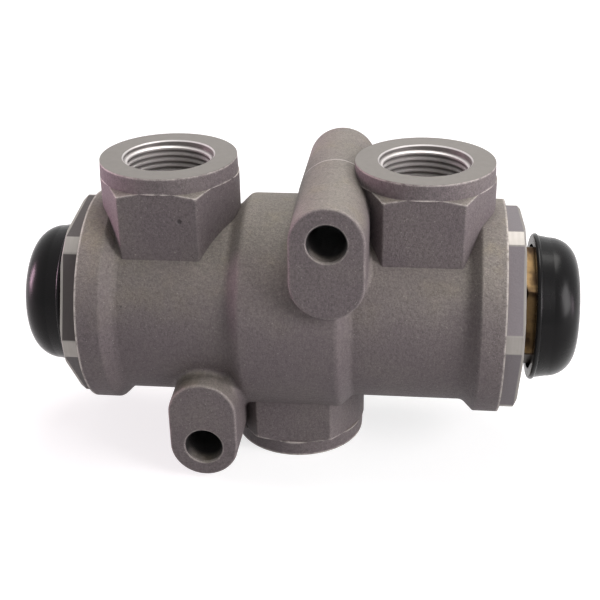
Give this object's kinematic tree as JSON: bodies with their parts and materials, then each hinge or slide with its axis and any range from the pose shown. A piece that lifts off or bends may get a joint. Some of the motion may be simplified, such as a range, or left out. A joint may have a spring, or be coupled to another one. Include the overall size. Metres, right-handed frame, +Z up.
{
  "type": "circuit protection valve",
  "caption": "Cast air-brake protection valve: cylindrical body, hex end covers with dust caps over adjusting screws, threaded ports above and below, bolt lugs front to back.",
  "frame": {"origin": "centre of the inlet port's face, under the valve", "axes": "+X along the valve axis towards the right end, +Y from the front to the bracket side, +Z up along the ports"},
  "size_m": [0.1391, 0.0568, 0.0751],
  "materials": {
    "cast_aluminium": "sand-cast, matte, with turned port faces",
    "machined_aluminium": "cast flats, turned corners and face",
    "turned_aluminium": "turned",
    "brass": "machined, slightly tarnished",
    "black_cap": "moulded, semi-gloss",
    "black_rubber": "moulded, matte",
    "spring_steel": "drawn wire",
    "plated_steel": "zinc plated"
  },
  "bodies": {
    "root": {"valve_body": "cast_aluminium", "end_cover_right": "machined_aluminium", "cover_seal_right": "black_rubber", "diaphragm_right": "black_rubber", "diaphragm_ring_right": "plated_steel", "pressure_spring_right": "spring_steel", "end_cover_left": "machined_aluminium", "cover_seal_left": "black_rubber", "diaphragm_left": "black_rubber", "diaphragm_ring_left": "plated_steel", "pressure_spring_left": "spring_steel"},
    "right_valve": {"valve_piston_right": "turned_aluminium", "valve_disc_right": "black_rubber", "spring_plate_right": "plated_steel", "piston_nut_right": "plated_steel"},
    "right_spring_seat": {"spring_seat_right": "plated_steel"},
    "right_screw": {"adjusting_screw_right": "brass"},
    "right_cap": {"dust_cap_right": "black_cap"},
    "left_valve": {"valve_piston_left": "turned_aluminium", "valve_disc_left": "black_rubber", "spring_plate_left": "plated_steel", "piston_nut_left": "plated_steel"},
    "left_spring_seat": {"spring_seat_left": "plated_steel"},
    "left_screw": {"adjusting_screw_left": "brass"},
    "left_cap": {"dust_cap_left": "black_cap"}
  },
  "joints": [
    {"name": "right_valve_lift", "type": "slide", "parent": "root", "child": "right_valve", "axis": [1, 0, 0], "range_m": [0, 0.0025], "stiffness_N_per_m": 800, "deforming": ["pressure_spring_right", "diaphragm_right"]},
    {"name": "right_screw_travel", "type": "slide", "parent": "root", "child": "right_spring_seat", "axis": [1, 0, 0], "range_m": [-0.00075, 0.00075]},
    {"name": "right_screw_turn", "type": "hinge", "parent": "right_spring_seat", "child": "right_screw", "pos_m": [0.06, 0, 0.0369], "axis": [1, 0, 0], "range_deg": [-185, 185]},
    {"name": "right_cap_pull", "type": "slide", "parent": "root", "child": "right_cap", "axis": [1, 0, 0], "range_m": [0, 0.014]},
    {"name": "left_valve_lift", "type": "slide", "parent": "root", "child": "left_valve", "axis": [-1, 0, 0], "range_m": [0, 0.0025], "stiffness_N_per_m": 800, "deforming": ["pressure_spring_left", "diaphragm_left"]},
    {"name": "left_screw_travel", "type": "slide", "parent": "root", "child": "left_spring_seat", "axis": [-1, 0, 0], "range_m": [-0.00075, 0.00075]},
    {"name": "left_screw_turn", "type": "hinge", "parent": "left_spring_seat", "child": "left_screw", "pos_m": [-0.06, 0, 0.0369], "axis": [-1, 0, 0], "range_deg": [-185, 185]},
    {"name": "left_cap_pull", "type": "slide", "parent": "root", "child": "left_cap", "axis": [-1, 0, 0], "range_m": [0, 0.014]}
  ],
  "couplings": [
    {"joint": "right_screw_turn", "follows": "right_screw_travel", "rad_per_m": 4188.8},
    {"joint": "left_screw_turn", "follows": "left_screw_travel", "rad_per_m": 4188.8}
  ]
}
